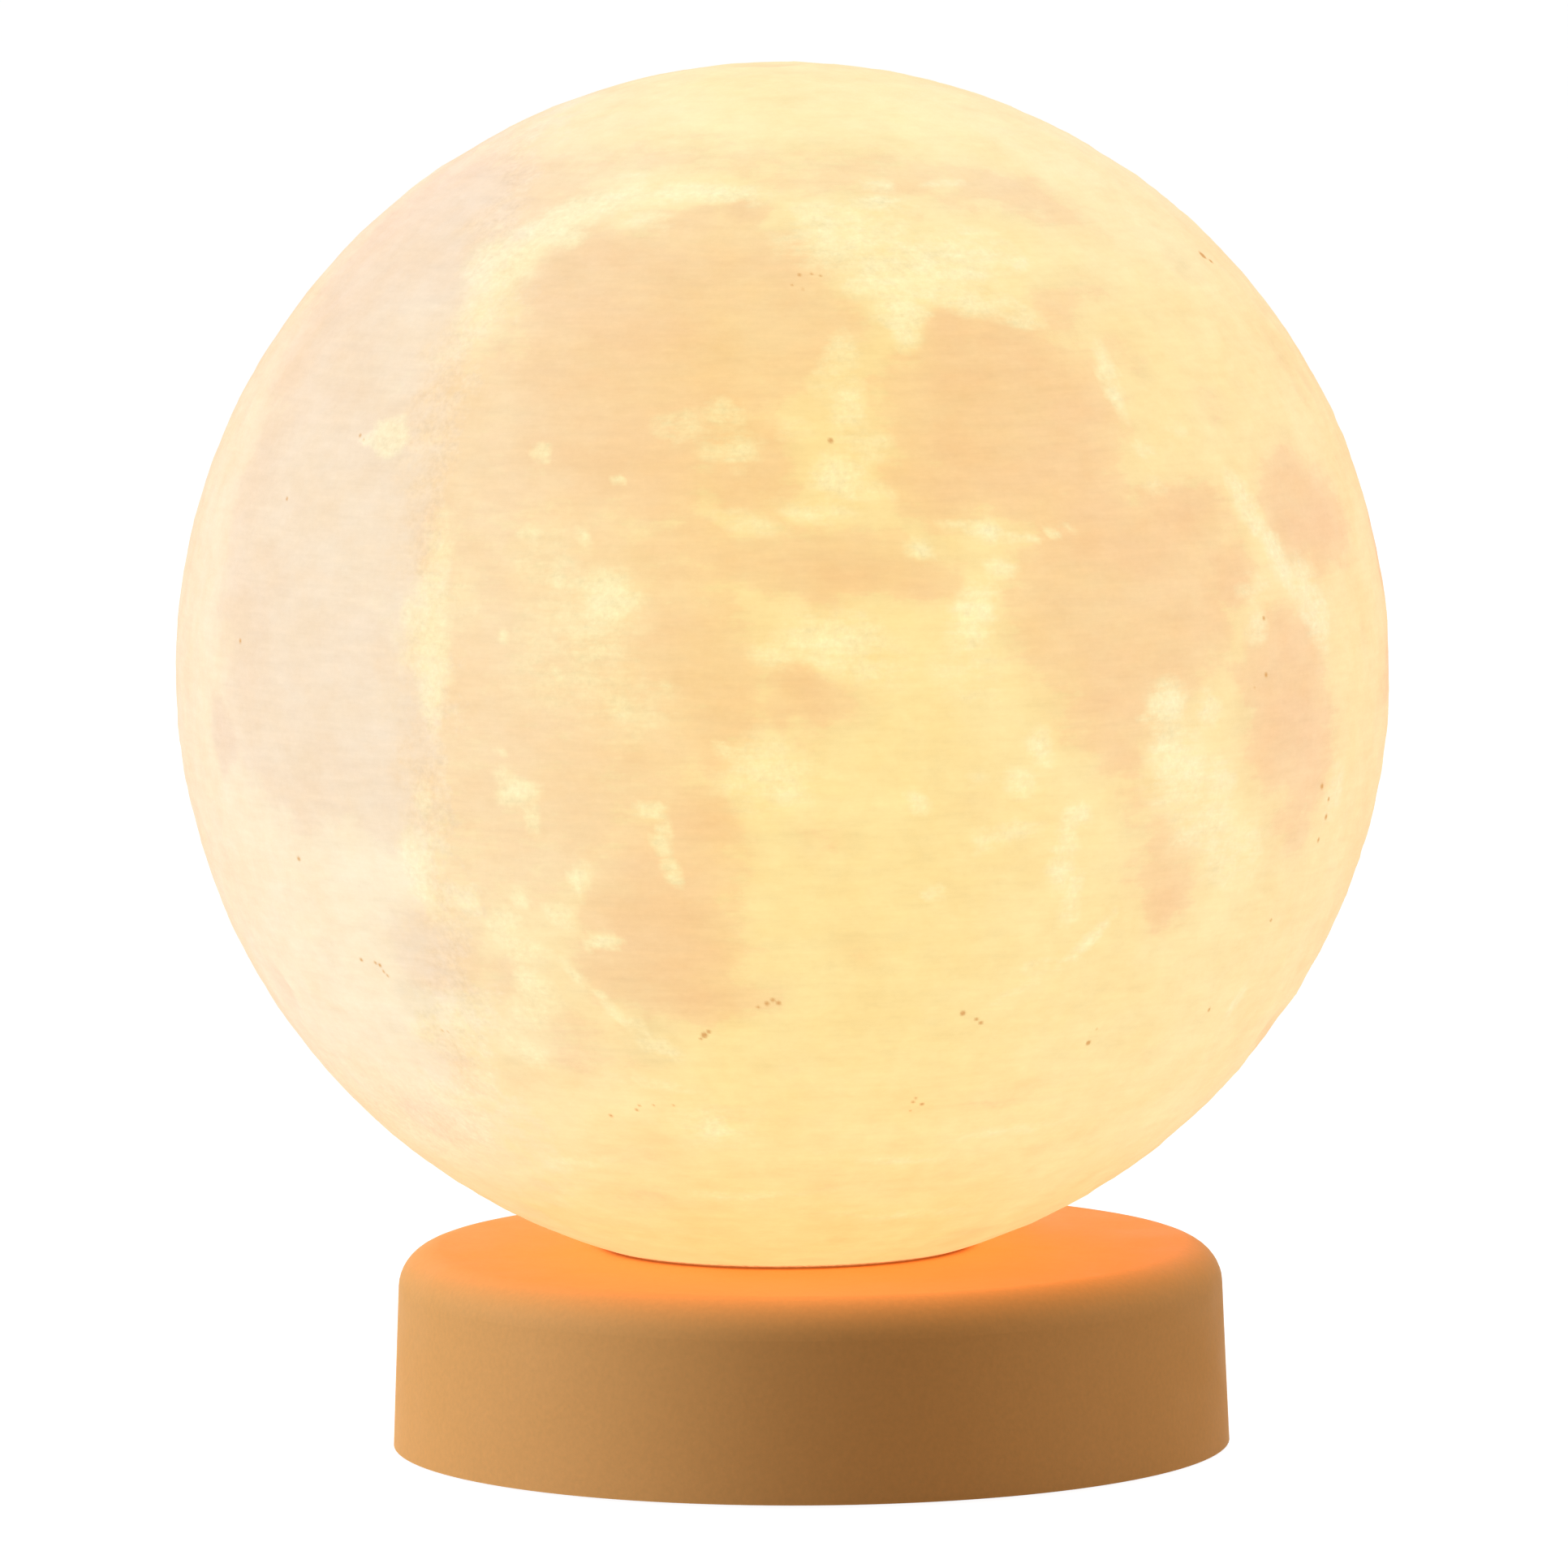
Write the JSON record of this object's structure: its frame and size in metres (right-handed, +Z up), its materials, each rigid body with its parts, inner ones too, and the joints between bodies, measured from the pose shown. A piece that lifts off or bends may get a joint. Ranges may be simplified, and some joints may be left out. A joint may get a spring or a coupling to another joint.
{
  "type": "moon lamp",
  "caption": "Table lamp: a lit, cratered moon globe that lifts off a low round base with a rechargeable light, a rear push button and a charging inlet.",
  "frame": {"origin": "centre of the foot pad's lower face, on the base's axis and on the table", "axes": "+Z up, front of the lamp towards -Y, rear panel with the inlet and button towards +Y"},
  "size_m": [0.15, 0.15, 0.1717],
  "materials": {
    "moon_print": "printed warm white, fine layer lines, lit from inside",
    "base_plastic": "matte tan with a very fine grain",
    "plate_plastic": "matte tan",
    "foot_rubber": "soft dark foam rubber",
    "screw_steel": "zinc plated",
    "post_plastic": "matte warm white",
    "light_board_metal": "white solder mask on aluminium",
    "light_chip": "yellow phosphor in a white frame",
    "chip_black": "moulded black",
    "diffuser_milk": "milky, lit from inside",
    "button_plastic": "satin tan",
    "switch_steel": "pressed sheet",
    "lens_clear": "clear moulded pipe",
    "charge_chip": "small indicator chip",
    "socket_steel": "drawn shell",
    "board_green": "green solder mask",
    "header_white": "natural moulded",
    "plug_white": "natural moulded",
    "lead_cover": "thin insulated wire",
    "battery_film": "silver pouch film",
    "tape_foam": "double-sided foam"
  },
  "bodies": {
    "base": {"base_housing": "base_plastic", "bottom_plate": "plate_plastic", "foot_pad": "foot_rubber", "housing_screws": "screw_steel", "lamp_post": "post_plastic", "post_screws": "screw_steel", "light_board": "light_board_metal", "light_board_screws": "screw_steel", "light_chips": "light_chip", "light_resistors": "chip_black", "diffuser_cap": "diffuser_milk", "switch_body": "switch_steel", "charge_lens": "lens_clear", "charge_light": "charge_chip", "inlet_socket": "socket_steel", "inlet_tongue": "chip_black", "control_board": "board_green", "control_board_screws": "screw_steel", "board_chips": "chip_black", "led_header": "header_white", "led_plug": "plug_white", "battery_header": "header_white", "battery_plug": "plug_white", "led_leads": "lead_cover", "battery_leads": "lead_cover", "battery_cell": "battery_film", "battery_tape": "tape_foam"},
    "globe": {"moon_shell": "moon_print"},
    "button": {"power_button": "button_plastic", "switch_plunger": "chip_black"}
  },
  "joints": [
    {"name": "globe_lift", "type": "slide", "parent": "base", "child": "globe", "axis": [0, 0, 1], "range_m": [0, 0.08]},
    {"name": "button_press", "type": "slide", "parent": "base", "child": "button", "axis": [0, -1, 0], "range_m": [0, 0.0006], "stiffness_N_per_m": 1500}
  ]
}
